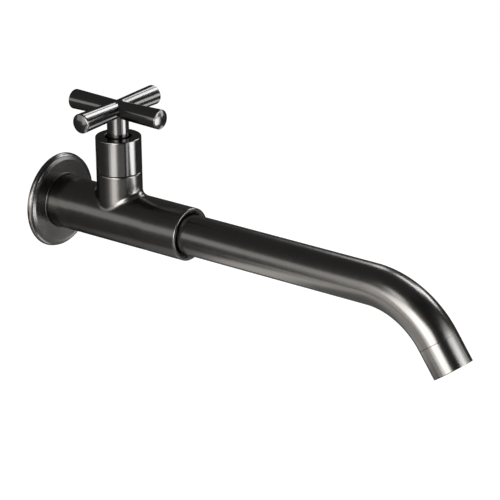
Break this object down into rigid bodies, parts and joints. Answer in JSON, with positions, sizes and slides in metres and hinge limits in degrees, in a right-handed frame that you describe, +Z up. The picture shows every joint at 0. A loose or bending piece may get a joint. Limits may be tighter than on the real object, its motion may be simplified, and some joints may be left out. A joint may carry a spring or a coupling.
{
  "type": "wall-mounted cold water tap",
  "caption": "Wall tap with a round flange, a level barrel, an upright bonnet with a cross handle, and a long swivelling spout that bends down to a flush aerator.",
  "frame": {"origin": "where the inlet's axis meets the plane of the wall, which is the back face of the flange", "axes": "+Y into the wall along the inlet, -Y out along the spout, +Z up along the bonnet, +X right for someone who faces the wall"},
  "size_m": [0.0702, 0.3247, 0.122],
  "materials": {
    "dark_satin": "brushed gunmetal, satin",
    "dark_bright": "brushed gunmetal, brighter",
    "steel": "plain stainless steel",
    "brass": "turned brass",
    "disc_ceramic": "lapped ceramic",
    "seal_rubber": "black rubber",
    "foam": "black foam",
    "white_plastic": "natural white plastic",
    "grey_plastic": "grey plastic"
  },
  "bodies": {
    "tap_body": {"valve_body": "dark_satin", "wall_flange": "dark_satin", "flange_gasket": "foam", "flange_o_ring": "seal_rubber", "inlet_nipple": "brass", "inlet_washer": "seal_rubber", "inlet_strainer": "steel", "bonnet_sleeve": "dark_bright", "headwork_shell": "brass", "headwork_washer": "white_plastic", "seat_seal": "seal_rubber", "fixed_disc": "disc_ceramic", "spout_lock_screw": "steel"},
    "handle": {"cross_handle": "dark_bright", "handle_bush": "white_plastic", "handle_screw": "steel", "spindle": "brass", "moving_disc": "disc_ceramic", "spindle_washer": "white_plastic", "spindle_o_ring_lower": "seal_rubber", "spindle_o_ring_upper": "seal_rubber", "stop_ring": "brass", "spindle_circlip": "steel"},
    "spout": {"spout_tube": "dark_satin", "spout_tail": "brass", "spout_o_ring_rear": "seal_rubber", "spout_o_ring_front": "seal_rubber", "spout_slip_ring_rear": "white_plastic", "spout_slip_ring_front": "white_plastic", "outlet_housing": "dark_satin", "aerator_washer": "seal_rubber", "aerator_shell": "grey_plastic", "aerator_insert": "white_plastic"}
  },
  "joints": [
    {"name": "handle_turn", "type": "hinge", "parent": "tap_body", "child": "handle", "pos_m": [0, -0.0505, 0.069], "axis": [0, 0, 1], "range_deg": [0, 90]},
    {"name": "spout_swivel", "type": "hinge", "parent": "tap_body", "child": "spout", "pos_m": [0, -0.09, 0], "axis": [0, 1, 0], "range_deg": [-90, 90]}
  ]
}
